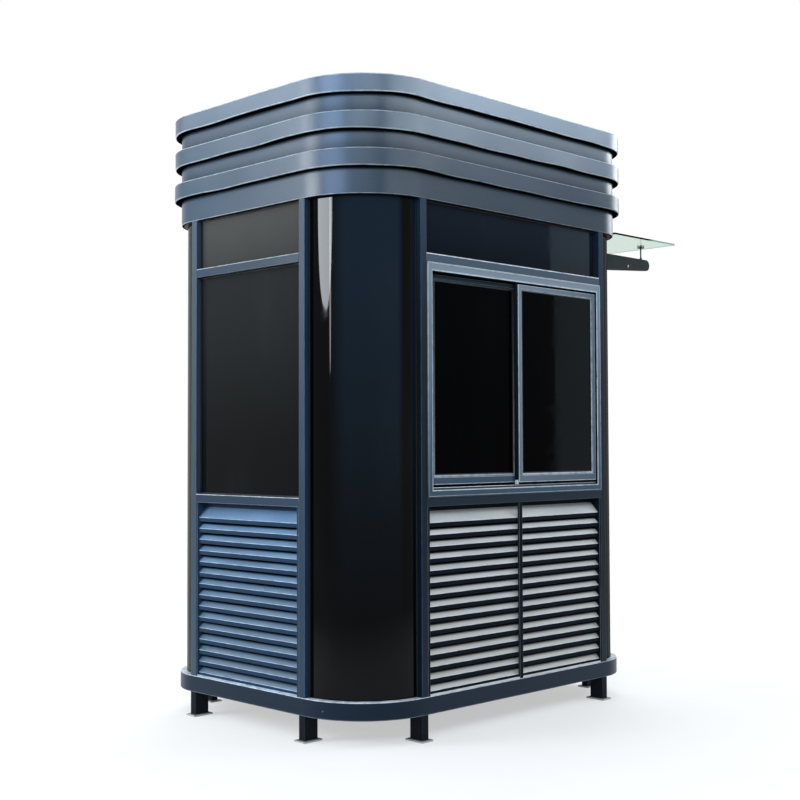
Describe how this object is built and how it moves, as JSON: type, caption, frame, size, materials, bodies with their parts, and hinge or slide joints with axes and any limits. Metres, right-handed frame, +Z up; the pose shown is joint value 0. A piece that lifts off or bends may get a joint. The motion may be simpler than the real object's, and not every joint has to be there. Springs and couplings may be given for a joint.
{
  "type": "security guard booth",
  "caption": "Steel-framed guard booth with rounded corners, dark glazing, louvred lower panels, a banded crown and a glass canopy over the door.",
  "frame": {"origin": "on the ground, under the middle of the whole part with its canopy", "axes": "+Z up, -Y towards the front with the sliding window, +X towards the door side with the canopy"},
  "size_m": [2.669, 1.578, 3],
  "materials": {
    "frame_paint": "satin slate blue paint",
    "louvre_paint": "semi-gloss slate blue paint",
    "window_paint": "powder-coated blue-grey aluminium",
    "panel_gloss": "mirror-gloss black",
    "tinted_glass": "dark tinted glass",
    "deck": "grey painted sheet",
    "ironmongery": "brushed stainless steel",
    "clear_glass": "clear glass with a green edge",
    "canopy_metal": "dark grey paint"
  },
  "bodies": {
    "root": {"legs": "frame_paint", "base_ring": "frame_paint", "floor_panel": "deck", "front_posts": "frame_paint", "back_posts": "frame_paint", "left_posts": "frame_paint", "right_posts": "frame_paint", "front_rails": "frame_paint", "back_rails": "frame_paint", "left_rails": "frame_paint", "door_head_rail": "frame_paint", "front_left_corner": "panel_gloss", "front_right_corner": "panel_gloss", "back_left_corner": "panel_gloss", "back_right_corner": "panel_gloss", "front_top_light": "tinted_glass", "back_top_light": "tinted_glass", "left_top_light": "tinted_glass", "right_top_light": "tinted_glass", "left_window_glass": "tinted_glass", "front_window_frame": "window_paint", "front_outer_sash": "window_paint", "front_inner_sash": "window_paint", "front_sash_glass": "tinted_glass", "back_window_frame": "window_paint", "back_outer_sash": "window_paint", "back_inner_sash": "window_paint", "back_sash_glass": "tinted_glass", "front_louvres": "louvre_paint", "back_louvres": "louvre_paint", "left_louvre": "louvre_paint", "door_leaf": "frame_paint", "door_glass": "tinted_glass", "door_louvre": "louvre_paint", "door_hinges": "ironmongery", "door_handle": "ironmongery", "head_ring": "frame_paint", "ceiling_panel": "deck", "crown_fascia": "frame_paint", "lower_band": "frame_paint", "middle_band": "frame_paint", "top_band": "frame_paint", "roof_deck": "deck", "canopy_glass": "clear_glass", "canopy_arms": "canopy_metal", "canopy_spiders": "canopy_metal"}
  },
  "joints": []
}
